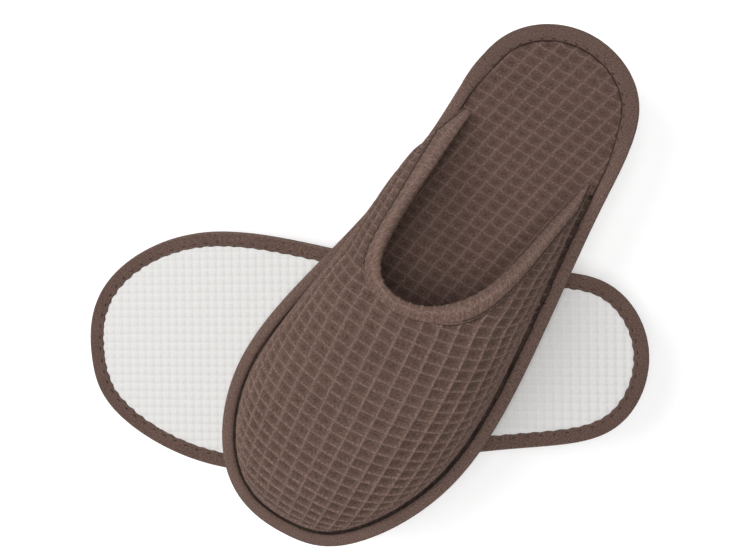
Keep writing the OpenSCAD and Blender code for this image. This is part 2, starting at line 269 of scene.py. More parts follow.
# %% [markdown]
# ## The upper's surface
# The upper rises from the tape all round the front and ends at the throat's edge. Going round
# the U is one direction (q, from the outer wing tip to the inner one) and climbing from the
# foot of the wall to the throat is the other (r). The sides stand up squarely and the toe
# slopes, which is one exponent that changes along q.

# %% The throat's edge and the upper's face
def edge_find(x, heelward, toeward):
    s = np.linspace(heelward, toeward, 400)
    return float(np.interp(x, edge_at(s)[:, 0], s))


wing_back, wing_lean, wing_tip_h = 80, 3, 3
throat_front, throat_w = 9, 52
s_outer = edge_find(-wing_back, 1, 4)
s_inner = edge_find(-wing_back, 11, 8)


def throat_tip(s):
    return with_z(edge_in(np.array(s), wall_in + wing_lean), wing_tip_h)


def throat_front_corner(back, side, lift):
    return np.array([throat_front - back, side * throat_w, lift * throat_h])


outer_tip, inner_tip = throat_tip(s_outer), throat_tip(s_inner)
outer_side, inner_side = throat_front_corner(23, 0.46, 0.9), throat_front_corner(23, -0.54, 0.9)
THROAT_CORNERS = np.array([
    outer_tip, (outer_tip + outer_side) / 2 + [0, 0, 1.5], outer_side,
    throat_front_corner(4, 0.17, 1), throat_front_corner(-2, -0.15, 1.01),
    throat_front_corner(3, -0.44, 1),
    inner_side, (inner_tip + inner_side) / 2 + [0, 0, 1.5], inner_tip,
])


def edge_place(q):
    return mix(s_outer, s_inner, q - 0.5 * np.sin(2 * np.pi * q) / (2 * np.pi))


def throat_at(q):
    return row_at(THROAT_CORNERS, q * (len(THROAT_CORNERS) - 1))


side_belly, belly_at, belly_reach = 9, 0.87, 0.19


def upper_at(q, r):
    """The outer face of a standing upper, for arrays of q and r."""
    q, r = np.broadcast_arrays(np.asarray(q, float), np.asarray(r, float))
    s = edge_place(q)
    foot, edge = edge_in(s, np.full(s.shape, wall_in)), throat_at(q)
    k = 2 / mix(mix(1.75, 2.4, q), 1.8, np.sin(np.pi * q) ** 4)
    climb = np.clip(r, 0, 1) * np.pi / 2
    across, up = 1 - np.maximum(np.cos(climb), 0) ** k, np.sin(climb) ** k
    belly = side_belly * smooth(1 - abs(q - belly_at) / belly_reach)
    belly = belly * np.sin(np.pi * np.sqrt(np.clip(r, 0, 1)))
    plan = foot + (edge[..., :2] - foot) * across[..., None] + edge_out(s) * belly[..., None]
    return with_z(plan, flange_top + edge[..., 2] * up)


PRESS_ROUND = 6


def press(z, limit):
    soft = limit - (limit + PRESS_ROUND - z) ** 2 / (4 * PRESS_ROUND)
    return np.where(z < limit - PRESS_ROUND, z, np.where(z > limit + PRESS_ROUND, limit, soft))


print("throat front at", throat_at(np.array(0.5)).round(1))

# %% [markdown]
# ## Meshes from grids
# Nearly every piece here is a sheet, so one helper makes them all: Blender's own grid, whose
# points are then moved to their places. The faces that would stick out past a cut edge are
# deleted, and Solidify turns the sheet into cloth with a thickness.

# %% A sheet from a grid of points
def sheet_mesh(name, points, sl, keep=None, uv=None, values=None, joined=False):
    """points is (rows, columns, 3) in the slipper's own frame."""
    rows, cols = points.shape[:2]
    bm = bmesh.new()
    bmesh.ops.create_grid(bm, x_segments=cols - 1, y_segments=rows - 1, size=1)
    mesh = bpy.data.meshes.new(name)
    bm.to_mesh(mesh)
    flat = np.empty(rows * cols * 3)
    mesh.vertices.foreach_get("co", flat)
    flat = flat.reshape(-1, 3)
    col = np.rint((flat[:, 0] + 1) / 2 * (cols - 1)).astype(int)
    row = np.rint((flat[:, 1] + 1) / 2 * (rows - 1)).astype(int)
    mesh.vertices.foreach_set("co", place(points[row, col], sl).astype(np.float32).ravel())
    if values is not None:
        layer = mesh.attributes.new("relief", "FLOAT", "POINT")
        layer.data.foreach_set("value", values[row, col].astype(np.float32))
    if uv is not None:
        corner = np.empty(len(mesh.loops), int)
        mesh.loops.foreach_get("vertex_index", corner)
        layer = mesh.uv_layers.new(name="cloth")
        layer.data.foreach_set("uv", uv[row, col][corner].astype(np.float32).ravel())
    bm.clear()
    bm.from_mesh(mesh)
    if keep is not None:
        kept = keep[row, col]
        bm.verts.ensure_lookup_table()
        out = [f for f in bm.faces if not all(kept[v.index] for v in f.verts)]
        bmesh.ops.delete(bm, geom=out, context="FACES")
    if joined:
        bmesh.ops.remove_doubles(bm, verts=bm.verts, dist=1e-6)
    if sl["up"] < 0:
        bmesh.ops.reverse_faces(bm, faces=bm.faces)
    bm.to_mesh(mesh)
    bm.free()
    return mesh


def piece(name, mesh, sl, look, replaces, thick=None, offset=-1):
    obj = bpy.data.objects.new(f"{sl['name']}_{name}", mesh)
    scene.collection.objects.link(obj)
    mesh.materials.append(look)
    for poly in mesh.polygons:
        poly.use_smooth = True
    if thick:
        wall = obj.modifiers.new("thickness", "SOLIDIFY")
        wall.thickness = thick * MM
        wall.offset = offset
    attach(obj, sl["body"])
    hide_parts(*[f"{sl['name']}_{node}" for node in replaces])
    print(obj.name, len(mesh.polygons), "faces")
    return obj


def cloth_uv(along, across):
    """Places on the flat cloth, in millimetres, with a row for each value of across."""
    return np.stack(np.broadcast_arrays(along[None, :], across[:, None]), -1)


def normals_of(points):
    """Outward normals of a grid, for rows that run one way and columns the other."""
    return unit(np.cross(np.gradient(points, axis=1), np.gradient(points, axis=0)))


# %% [markdown]
# ## Looks
# All the cloth is dyed one warm brown; the lining is made a darker brown than its pale beige,
# as painted shade inside the upper. The waffle's ridges are painted paler, as painted
# highlight, and each sheet carries a "relief" value, 0 on a ridge and 1 in the bottom of a
# cell, which darkens the cells as painted shade. Above 1 it marks painted shade in a crevice,
# such as the one between the tape and the upper, where almost no light gets in. Fine threads
# and lint are noise and waves in the material. The colours are set where they are easy to
# compare: one line for each finish.

# %% Materials
def linear(*srgb):
    return tuple((c / 255 / 12.92) if c < 10 else ((c / 255 + 0.055) / 1.055) ** 2.4 for c in srgb) + (1,)


def mixed_colour(nodes, links, low, high, factor):
    mix_node = nodes.new("ShaderNodeMix")
    mix_node.data_type = "RGBA"
    for socket, colour in ((6, low), (7, high)):
        if isinstance(colour, tuple):
            mix_node.inputs[socket].default_value = colour
        else:
            links.new(colour, mix_node.inputs[socket])
    links.new(factor, mix_node.inputs[0])
    return mix_node.outputs[2]


def noise(nodes, links, vector, scale, detail=3, rough=0.6):
    node = nodes.new("ShaderNodeTexNoise")
    node.inputs["Scale"].default_value = scale
    node.inputs["Detail"].default_value = detail
    node.inputs["Roughness"].default_value = rough
    links.new(vector, node.inputs["Vector"])
    return node.outputs["Fac"]


def remap(nodes, links, value, low, high, to_low=0, to_high=1):
    node = nodes.new("ShaderNodeMapRange")
    node.inputs[1].default_value = low
    node.inputs[2].default_value = high
    node.inputs[3].default_value = to_low
    node.inputs[4].default_value = to_high
    links.new(value, node.inputs[0])
    return node.outputs[0]


def times(nodes, links, a, b, operation="MULTIPLY"):
    node = nodes.new("ShaderNodeMath")
    node.operation = operation
    for socket, value in ((0, a), (1, b)):
        if isinstance(value, (int, float)):
            node.inputs[socket].default_value = value
        else:
            links.new(value, node.inputs[socket])
    return node.outputs[0]


def weave(nodes, links, vector, pitch, turn, directions):
    """Threads pitch apart, in one direction or in two that cross."""
    rotated = nodes.new("ShaderNodeMapping")
    rotated.inputs["Rotation"].default_value = (0, 0, turn)
    links.new(vector, rotated.inputs["Vector"])
    bands = []
    for direction in directions:
        wave = nodes.new("ShaderNodeTexWave")
        wave.bands_direction = direction
        wave.inputs["Scale"].default_value = 0.314 / pitch
        wave.inputs["Distortion"].default_value = 1.2
        wave.inputs["Detail"].default_value = 1
        links.new(rotated.outputs[0], wave.inputs["Vector"])
        bands.append(wave.outputs["Fac"])
    return times(nodes, links, bands[0], bands[-1], "MAXIMUM")


def start_look(name, rough, sheen):
    look = bpy.data.materials.new(name)
    look.use_nodes = True
    nodes, links = look.node_tree.nodes, look.node_tree.links
    bsdf = nodes["Principled BSDF"]
    bsdf.inputs["Roughness"].default_value = rough
    bsdf.inputs["Specular IOR Level"].default_value = 0.14
    bsdf.inputs["Sheen Weight"].default_value = sheen
    bsdf.inputs["Sheen Roughness"].default_value = 0.5
    return look, nodes, links, bsdf


def bump(nodes, links, bsdf, height, strength, distance):
    node = nodes.new("ShaderNodeBump")
    node.inputs["Strength"].default_value = strength
    node.inputs["Distance"].default_value = distance
    links.new(height, node.inputs["Height"])
    links.new(node.outputs["Normal"], bsdf.inputs["Normal"])


def cloth_look(name, pit, ridge, pitch, depth, turn=0.0, sheen=0.03, twill=False):
    """Woven cloth: ridge and pit colours as painted highlight and shade, threads pitch mm apart, and lint
    over them.
    """
    look, nodes, links, bsdf = start_look(name, 0.92, sheen)
    coords = nodes.new("ShaderNodeTexCoord")
    mm = coords.outputs["UV"]
    relief = nodes.new("ShaderNodeAttribute")
    relief.attribute_name = "relief"
    sunk = relief.outputs["Fac"]
    lint = remap(nodes, links, noise(nodes, links, mm, 0.9, 5, 0.8), 0.32, 0.68)
    patch = remap(nodes, links, noise(nodes, links, mm, 0.045, 2), 0.3, 0.7, -0.08, 0.08)
    threads = weave(nodes, links, mm, pitch, turn, "X" if twill else "XY")
    mixed = times(nodes, links, sunk, times(nodes, links, lint, 0.4), "SUBTRACT")
    mixed = times(nodes, links, mixed, patch, "ADD")
    base = mixed_colour(nodes, links, ridge, pit, mixed)
    # The dark colour is painted shade: it darkens the floors of the cells and, below, the gaps between the
    # threads.
    dark = tuple(c * 0.6 for c in pit[:3]) + (1,)
    middle = remap(nodes, links, sunk, 0.9, 1.0, 0.0, 0.4)
    base = mixed_colour(nodes, links, base, dark, middle)
    # Painted shade, nearly black, where the relief value marks a crevice above 1.
    crevice = tuple(c * 0.18 for c in pit[:3]) + (1,)
    base = mixed_colour(nodes, links, base, crevice, remap(nodes, links, sunk, 1.2, 2.2))
    thread_gap_shade = remap(nodes, links, threads, 0.25, 0.75, 0.22 if twill else 0.35, 0.0)
    woven = mixed_colour(nodes, links, base, dark, thread_gap_shade)
    grain = remap(nodes, links, noise(nodes, links, mm, 1.0, 4, 0.85), 0.39, 0.61, 0.64, 1.40)
    scaled = nodes.new("ShaderNodeVectorMath")
    scaled.operation = "SCALE"
    links.new(woven, scaled.inputs[0])
    links.new(grain, scaled.inputs["Scale"])
    colour = scaled.outputs[0]
    links.new(colour, bsdf.inputs["Base Color"])
    height = times(nodes, links, threads, times(nodes, links, lint, 1.6), "ADD")
    bump(nodes, links, bsdf, height, 0.8, depth * MM)
    return look


TWILL_TURN = 0.785
# Each finish has a pit colour and a ridge colour: the darker pit is painted shade in the cells, and the
# paler ridge is painted highlight.
waffle_look = cloth_look("waffle_cloth", linear(107, 82, 72), linear(156, 129, 117), 0.55, 0.55)
insole_look = cloth_look("insole_waffle", linear(105, 80, 71), linear(144, 117, 107), 0.55, 0.5)
hem_look = cloth_look("hem_cloth", linear(103, 78, 68), linear(154, 127, 115), 0.6, 0.4)
tape_look = cloth_look("binding_twill", linear(84, 64, 57), linear(130, 107, 98), 1.1, 0.16,
                       turn=TWILL_TURN, twill=True)
# The lining is a darker brown than its pale beige, as painted shade inside the upper.
lining_look = cloth_look("lining_cloth", linear(66, 50, 44), linear(92, 73, 65), 0.5, 0.08)


def plain_look(name, colour, rough, grain, distance, sheen=0.0):
    look, nodes, links, bsdf = start_look(name, rough, sheen)
    coords = nodes.new("ShaderNodeTexCoord")
    cells = noise(nodes, links, coords.outputs["Object"], grain, 4, 0.7)
    pale = tuple(min(1, c * 1.02) for c in colour[:3]) + (1,)
    dim = tuple(c * 0.96 for c in colour[:3]) + (1,)
    tone = remap(nodes, links, cells, 0.3, 0.7)
    links.new(mixed_colour(nodes, links, dim, pale, tone), bsdf.inputs["Base Color"])
    bump(nodes, links, bsdf, cells, 0.5, distance * MM)
    return look


thread_look = plain_look("sewing_thread", linear(62, 47, 41), 0.8, 4000, 0.05, 0.2)
sole_look = plain_look("outsole_foam", linear(223, 222, 220), 0.6, 1500, 0.06)
cushion_look = plain_look("cushion_foam", linear(226, 222, 210), 0.9, 1800, 0.15)
padding_look = plain_look("padding_foam", linear(222, 218, 208), 0.95, 900, 0.3)
print("finishes:", len(bpy.data.materials))

# %% [markdown]
# ## Waffle cloth
# Waffle weave is a net of raised threads around square cells. The cells here are 5.2 mm long
# and 7.0 mm across the foot. A few points across each cell are enough when they crowd at the
# ridge, so the ridges come out thin and the cells' floors round.

# %% The cell
CELL_ALONG, CELL_ACROSS = 5.2, 7.0
CELL_POINTS = np.array([0, 0.05, 0.15, 0.5, 0.85, 0.95])


RIDGE_HALF, RIDGE_EDGE = 0.2, 1.4


def cell_dip(f):
    """How far a cell has fallen, from 0 on the ridge to 1, at the fraction f across it."""
    from_ridge = np.minimum(f % 1, 1 - f % 1) * 2
    return 1 - np.exp(-((from_ridge / RIDGE_HALF) ** RIDGE_EDGE)) * (1 - from_ridge)


def cell_places(first, last):
    whole = np.arange(first, last)[:, None] + CELL_POINTS
    return np.append(whole.ravel(), last)


def waffle_relief(u, v):
    return cell_dip(u) * cell_dip(v)


# %% [markdown]
# ## Insole
# The cloth that the foot stands on is cut to the sole's outline and is flat. Its columns run
# along the foot, slightly bent where the sole bends, and its rows sag a little towards the
# toe between them, as a trodden cloth's do. The edge goes under the tape.

# %% The insole cover and the foam under it
def inset_of(points):
    """How far points in plan lie inside the edge."""
    s = np.linspace(0, SPANS, 481)[:-1]
    ring, out = edge_at(s), edge_out(s)
    flat = points[..., :2].reshape(-1, 2)
    near = np.empty(len(flat), int)
    for start in range(0, len(flat), 4000):
        part = flat[start : start + 4000]
        near[start : start + 4000] = ((part[:, None] - ring) ** 2).sum(-1).argmin(1)
    return ((ring[near] - flat) * out[near]).sum(-1).reshape(points.shape[:-1])


INSOLE_DIP, COVER_CUT = 0.85, 1.6
CELL_BOW = 0.13


def across_cell(v):
    """0 on the ridges that run along the foot, and 1 half-way between them."""
    return 4 * (v % 1) * (1 - v % 1)


def insole_cover(sl):
    u = cell_places(-29, 29)
    v = cell_places(-10, 10)
    x = u[None, :] * CELL_ALONG + 0 * v[:, None]
    y = v[:, None] * CELL_ACROSS - 0.10 * x + 0.00055 * np.maximum(20 - x, 0) ** 2 - 6
    x = x - 0.0175 * v[:, None] * CELL_ACROSS + CELL_BOW * CELL_ALONG * across_cell(v)[:, None]
    dip = waffle_relief(*np.broadcast_arrays(u[None, :], v[:, None]))
    plan = np.stack([x, y], -1)
    points = with_z(plan, insole_top - INSOLE_DIP * dip)
    keep = inset_of(plan) > COVER_CUT
    uv = cloth_uv(u * CELL_ALONG, v * CELL_ACROSS)
    mesh = sheet_mesh(f"{sl['name']}_insole", points, sl, keep, uv, dip)
    obj = piece("insole_waffle", mesh, sl, insole_look, ["insole_cover"], 0.45)


OUTSOLE_T = 4


def sole_slab(sl, name, low, high, inset, look, node):
    """A flat layer of foam, cut to the outline and with its edge rounded a little."""
    s = np.linspace(0, SPANS, 361)
    shares = [(0, low), (0.55, low), (1, low), (1, high), (0.55, high), (0, high)]
    centre = edge_at(edge_s).mean(0)
    rings = []
    for share, z in shares:
        rings.append(with_z(centre + (edge_in(s, np.full(s.shape, inset)) - centre) * share, z))
    mesh = sheet_mesh(f"{sl['name']}_{name}", np.stack(rings, 1), sl, joined=True)
    return piece(name, mesh, sl, look, [node])


def cushion(sl):
    low, high = OUTSOLE_T + 0.02, foam_top - 0.35
    obj = sole_slab(sl, "cushion", low, high, 1.2, cushion_look, "cushion_foam")


# %% [markdown]
# ## Outsole
# The sole is a sheet of white foam, embossed with small pyramids so that it grips. Its edge
# is covered by the tape. The pyramids are four points apart in each direction, with the
# point of each in the middle of its cell.

# %% The outsole
PYRAMID, PYRAMID_H = 4.17, 1.05
SOLE_CUT, SOLE_T = 2.2, 2.9
TAPE_COVERS, SINK_REACH, SINK_UNDER_TAPE = 6.2, 2.6, 1.3


def outsole(sl):
    steps = 4
    u = np.arange(-36 * steps, 36 * steps + 1) / steps
    v = np.arange(-17 * steps, 17 * steps + 1) / steps
    x = u[None, :] * PYRAMID + 0 * v[:, None]
    y = v[:, None] * PYRAMID + 0 * u[None, :]
    across = np.maximum(abs((x / PYRAMID) % 1 - 0.5), abs((y / PYRAMID) % 1 - 0.5)) * 2
    up = np.minimum(1 - across, 0.8) / 0.8
    plan = np.stack([x, y], -1)
    clear = smooth((inset_of(plan) - TAPE_COVERS) / SINK_REACH)
    z = SINK_UNDER_TAPE * (1 - clear) + 0.03 + PYRAMID_H * (1 - up) * clear
    keep = inset_of(plan) > SOLE_CUT
    points = with_z(plan, z)[:, ::-1]
    mesh = sheet_mesh(f"{sl['name']}_sole", points, sl, keep[:, ::-1])
    piece("embossed_sole", mesh, sl, sole_look, ["outsole"], SOLE_T)


# %% [markdown]
# ## The cloth of the upper
# One flat piece of waffle cloth is eased over the last, so its cells stay the same length
# along both threads and only shear. First the last's surface is laid out, with a cap over
# the throat so that the cloth has something to lie on there. Then a net with one knot at
# each crossing of the ridges is laid over it and pulled until its threads are right again.

# %% The last's surface
BRIM_OUT = 26
WALL_STEPS, CAP_STEPS, ROUND_STEPS = 44, 12, 320
CAP_CROWN = 4


def last_surface():
    q = np.linspace(0, 1, ROUND_STEPS + 1)
    s = edge_place(q)
    columns = [with_z(edge_in(s, np.full(s.shape, inset)), flange_top) for inset in (-BRIM_OUT, 1, 4)]
    r = (np.arange(WALL_STEPS + 1) / WALL_STEPS) ** 1.3
    columns += [upper_at(q, np.full(q.shape, rr)) for rr in r]
    edge = throat_at(q)
    middle = np.stack([edge[:, 0], -0.045 * edge[:, 0] - 2, edge[:, 2]], -1)
    for f in np.arange(1, CAP_STEPS + 1) / CAP_STEPS:
        cap = mix(edge, middle, f)
        cap[:, 2] += CAP_CROWN * math.sin(f * math.pi / 2) * np.minimum(1, edge[:, 2] / 20)
        columns.append(cap)
    shares = np.concatenate([[-3, -2, -1], r, 1 + np.arange(1, CAP_STEPS + 1) / CAP_STEPS])
    return q, shares, np.stack(columns, 1)


last_q, last_r, last_points = last_surface()
rows, cols = last_points.shape[:2]
quads = [
    (i * cols + j, i * cols + j + 1, (i + 1) * cols + j + 1, (i + 1) * cols + j)
    for i in range(rows - 1) for j in range(cols - 1)
]
last_tree = BVHTree.FromPolygons(last_points.reshape(-1, 3).tolist(), quads)


def on_last(points):
    """The nearest places on the last, with their q and r."""
    flat = points.reshape(-1, 3)
    near, face = np.empty_like(flat), np.empty(len(flat), int)
    for i, p in enumerate(flat.tolist()):
        hit = last_tree.find_nearest(p)
        near[i], face[i] = hit[0], hit[2]
    shape = points.shape[:-1]
    near_q, near_r = last_q[face // (cols - 1)], last_r[face % (cols - 1)]
    return near.reshape(points.shape), near_q.reshape(shape), near_r.reshape(shape)


print("last surface", rows, "x", cols)

# %% Laying the net
NET_FIRST, NET_LAST = -29, 26
NET_HALF = 15
STRETCH_ACROSS, TOE_STRETCH = 1.07, 1.16
CENTRE_TURN, CENTRE_X, CENTRE_Y = 0.078, 60, -5
BOW_OUTER, BOW_INNER = 0.0042, 0.0027
X_BACK = -wing_back + 2


def section(x, spread):
    """The last's section across x: its points from the inner brim to the outer one."""
    middle = CENTRE_Y + CENTRE_TURN * (x - CENTRE_X)
    origin = Vector((x, middle, flange_top + 0.6))
    hits = []
    for angle in np.linspace(math.pi, 0, spread):
        hit = last_tree.ray_cast(origin, Vector((0, math.cos(angle), math.sin(angle))))
        if hit[0] is not None:
            hits.append(hit[0][1:])
    if len(hits) < spread // 2:
        hits = [(middle, flange_top)]
    hits = np.array([tuple(h) for h in hits])
    line = np.vstack([[hits[0][0] - 120, flange_top], [hits[0][0], flange_top], hits,
                      [hits[-1][0], flange_top], [hits[-1][0] + 120, flange_top]])
    run = run_along(line)
    top = np.interp(middle, line[2:-2, 0], run[2:-2]) if len(hits) > 1 else run[2]
    return line, run - top


def cell_lengths():
    """How long the cells are from back to front: the cloth is stretched over the toes."""
    place_along = np.arange(NET_FIRST, NET_LAST)
    return CELL_ALONG * mix(1, TOE_STRETCH, smooth(place_along / 14))


def lay_net():
    xs = np.arange(X_BACK, 150, 2.0)
    across = np.arange(-NET_HALF, NET_HALF + 1) * CELL_ACROSS * STRETCH_ACROSS
    table = np.empty((len(xs), len(across), 3))
    for i, x in enumerate(xs):
        line, run = section(x, 121)
        table[i, :, 0] = x
        table[i, :, 1] = np.interp(across, run, line[:, 0])
        table[i, :, 2] = np.interp(across, run, line[:, 1])
    centre = table[:, NET_HALF]
    run = run_along(centre)
    run -= np.interp(CENTRE_X, xs, run)
    along = np.concatenate([[0], np.cumsum(cell_lengths())])
    along += NET_FIRST * CELL_ALONG - 2
    row_x = np.interp(along, run, xs)
    row_x = row_x + np.minimum(along - run[0], 0) + np.maximum(along - run[-1], 0)
    net = np.empty((len(across), len(along), 3))
    for m, a in enumerate(across):
        bow = (BOW_OUTER if a > 0 else BOW_INNER) * a * a
        x = row_x - bow
        for k in (1, 2):
            net[m, :, k] = np.interp(x, xs, table[:, m, k])
        net[m, :, 0] = x
    return net


def relax(net, rounds):
    centre = net[NET_HALF].copy()
    for _ in range(rounds):
        pull = np.zeros_like(net)
        for axis, rest in ((1, cell_lengths()[:, None]), (0, CELL_ACROSS * STRETCH_ACROSS)):
            d = np.diff(net, axis=axis)
            length = np.maximum(np.linalg.norm(d, axis=-1, keepdims=True), 1e-6)
            move = d * (length - rest) / length * 0.25
            first = [slice(None)] * 2
            second = [slice(None)] * 2
            first[axis], second[axis] = slice(0, -1), slice(1, None)
            pull[tuple(first)] += move
            pull[tuple(second)] -= move
        inner = net[1:-1, 1:-1]
        even = (net[:-2, 1:-1] + net[2:, 1:-1] + net[1:-1, :-2] + net[1:-1, 2:]) / 4 - inner
        net = net + pull
        net[1:-1, 1:-1] += 0.10 * even
        net[NET_HALF] = centre
        near, _, _ = on_last(net)
        net = np.where(net[..., :1] > X_BACK, near, net)
    return net


def net_weights(places, count):
    """Catmull-Rom weights that read a row of knots at fractional places."""
    weights = np.zeros((len(places), count))
    for i, p in enumerate(places):
        k = min(int(p), count - 2)
        f = p - k
        four = [-0.5 * f + f * f - 0.5 * f**3, 1 - 2.5 * f * f + 1.5 * f**3,
                0.5 * f + 2 * f * f - 1.5 * f**3, -0.5 * f * f + 0.5 * f**3]
        for j, w in enumerate(four):
            weights[i, min(max(k - 1 + j, 0), count - 1)] += w
    return weights


net = relax(lay_net(), 45)
net_u = cell_places(0, net.shape[1] - 1)
net_v = cell_places(0, net.shape[0] - 1)
cloth = np.einsum("am,bn,mnk->abk", net_weights(net_v, net.shape[0]), net_weights(net_u, net.shape[1]), net)
cloth_near, cloth_q, cloth_r = on_last(cloth)
cloth = np.where(cloth[..., :1] > X_BACK, cloth_near, cloth)
print("cloth net", net.shape[:2], "knots,", cloth.shape[:2], "points")

# %% [markdown]
# ## The upper's layers
# The cover is the net with its cells sunk in. The padding and the lining follow the same
# surface at their own depths, and all three are pressed together under the tape. On the
# lower slipper everything is pressed down to the height at which it lies.

# %% The cover
COVER_DIP, COVER_OVER_TAPE = 1.25, 0.15
HEM_W, HEM_FRONT_SHARE = 9, 0.6


def at_front(q):
    """1 at the front of the throat, and 0 along the wings."""
    return np.exp(-(((q - 0.5) / 0.16) ** 4))


def hem_start(q):
    """The r at which the hem's lower fold lies."""
    foot = with_z(edge_in(edge_place(q), np.full(q.shape, wall_in)), 0)
    wide = HEM_W * mix(1, HEM_FRONT_SHARE, at_front(q))
    return np.maximum(0.4, 1 - wide / (1.1 * np.linalg.norm(throat_at(q) - foot, axis=-1)))


def tip_share(q):
    """The share of its thickness that the upper keeps as it thins towards the wing tips."""
    return mix(0.4, 1, smooth(8 * np.minimum(q, 1 - q)))


def pressed(points, sl, limit):
    if not sl["pressed"]:
        return points
    out = points.copy()
    out[..., 2] = press(points[..., 2], limit)
    return out


def vamp_cover(sl):
    u, v = np.broadcast_arrays(net_u[None, :], net_v[:, None])
    dip = waffle_relief(u, v)
    surface = pressed(cloth, sl, pressed_top)
    up = normals_of(surface)
    up[up[..., 2] < -0.4] = [0, 0, 1]
    flat_near_tape = smooth(cloth_r / 0.12) * 0.75 + 0.25
    depth = COVER_DIP * tip_share(cloth_q) * dip * np.where(cloth_r < 0, COVER_OVER_TAPE, flat_near_tape)
    crease = smooth(1 - cloth_r / 0.06)
    depth = depth + 0.5 * crease * (cloth_r >= 0)
    under_hem = smooth((cloth_r - hem_start(cloth_q)) * 25)
    points = surface - up * (depth * (1 - under_hem) + 0.25 * under_hem)[..., None]
    hem_mid = mix(hem_start(cloth_q), 1, 0.35)
    keep = (cloth_r > -2.5) & (cloth_r < hem_mid) & (cloth_q > 0.004) & (cloth_q < 0.996)
    keep &= cloth[..., 0] > X_BACK
    uv = np.stack([u * CELL_ALONG, v * CELL_ACROSS], -1)
    # Twice the crease, above 1, is painted shade in the crevice at the foot of the upper by the tape.
    mesh = sheet_mesh(f"{sl['name']}_vamp", points, sl, keep, uv, np.maximum(dip, 2.2 * crease))
    obj = piece("vamp_waffle", mesh, sl, waffle_look, ["vamp_cover"], 0.5)
    du, dv = np.diff(net_u) * CELL_ALONG, np.diff(net_v) * CELL_ACROSS
    whole = keep[:-1, :-1] & keep[1:, :-1] & keep[:-1, 1:] & keep[1:, 1:]
    area = (whole * du[None, :] * dv[:, None]).sum() * MM * MM
    seen = np.argwhere(whole)
    low, high = seen.min(0), seen.max(0) + 1
    wide = (net_v[high[0]] - net_v[low[0]]) * CELL_ACROSS * MM
    long = (net_u[high[1]] - net_u[low[1]]) * CELL_ALONG * MM
    flat = (wide, long)
    sl["vamp_cut"], sl["vamp_area"] = flat, float(area)
    print("  cut", [round(f, 3) for f in flat], "m, area", round(area, 4))


# %% The padding and the lining
def layer_grid(sl, depth, end_q, last_r=1.0, steps=40, rounds=220):
    """A layer of the upper at a depth below its face, from the tape to the throat's edge."""
    q = np.linspace(end_q, 1 - end_q, rounds + 1)
    inner = np.linspace(0, last_r, steps) ** 1.2
    s = edge_place(q)
    columns = [with_z(edge_in(s, np.full(s.shape, inset)), flange_top) for inset in (1.6, wall_in - 1)]
    columns += [upper_at(q, np.full(q.shape, r)) for r in inner]
    points = pressed(np.stack(columns, 1), sl, pressed_top)
    up = normals_of(points)
    up[:, :2] = [0, 0, 1]
    ends = tip_share(q)[:, None]
    thin = np.concatenate([np.full((len(q), 2), flange_t / 2.9), np.repeat(ends, steps, 1)], 1)
    return points - up * (depth * thin)[..., None]


def upper_layer(sl, name, depth, end_q, thick, look, node):
    points = layer_grid(sl, depth, end_q)
    uv = cloth_uv(np.arange(points.shape[1]) * 2.0, np.arange(len(points)) * 2.0)
    mesh = sheet_mesh(f"{sl['name']}_{name}", points, sl, uv=uv, values=np.full(points.shape[:2], 0.5))
    return piece(name, mesh, sl, look, [node], thick)


def padding_and_lining(sl):
    pad = upper_layer(sl, "upper_padding", 1.5, 0.07, 0.8, padding_look, "vamp_padding")
    lining = upper_layer(sl, "upper_lining", 2.5, 0.02, 0.35, lining_look, "vamp_lining")


# %% [markdown]
# ## The throat's hem
# A strip of the same cloth, ironed flat, is folded over the throat's edge and stitched
# through close to its lower fold. The stitch line pulls it in a little, so the strip is
# slightly full between the stitches and the edge.

# %% The hem
HEM_T, SEAM_IN, LAYERS = 0.6, 1.4, 2.9
HEM_DIP = 0.28


def seam_pull(down):
    """How strongly the seam draws the strip in, at a distance above its lower fold."""
    return np.exp(-(((down - SEAM_IN) / 0.8) ** 2))


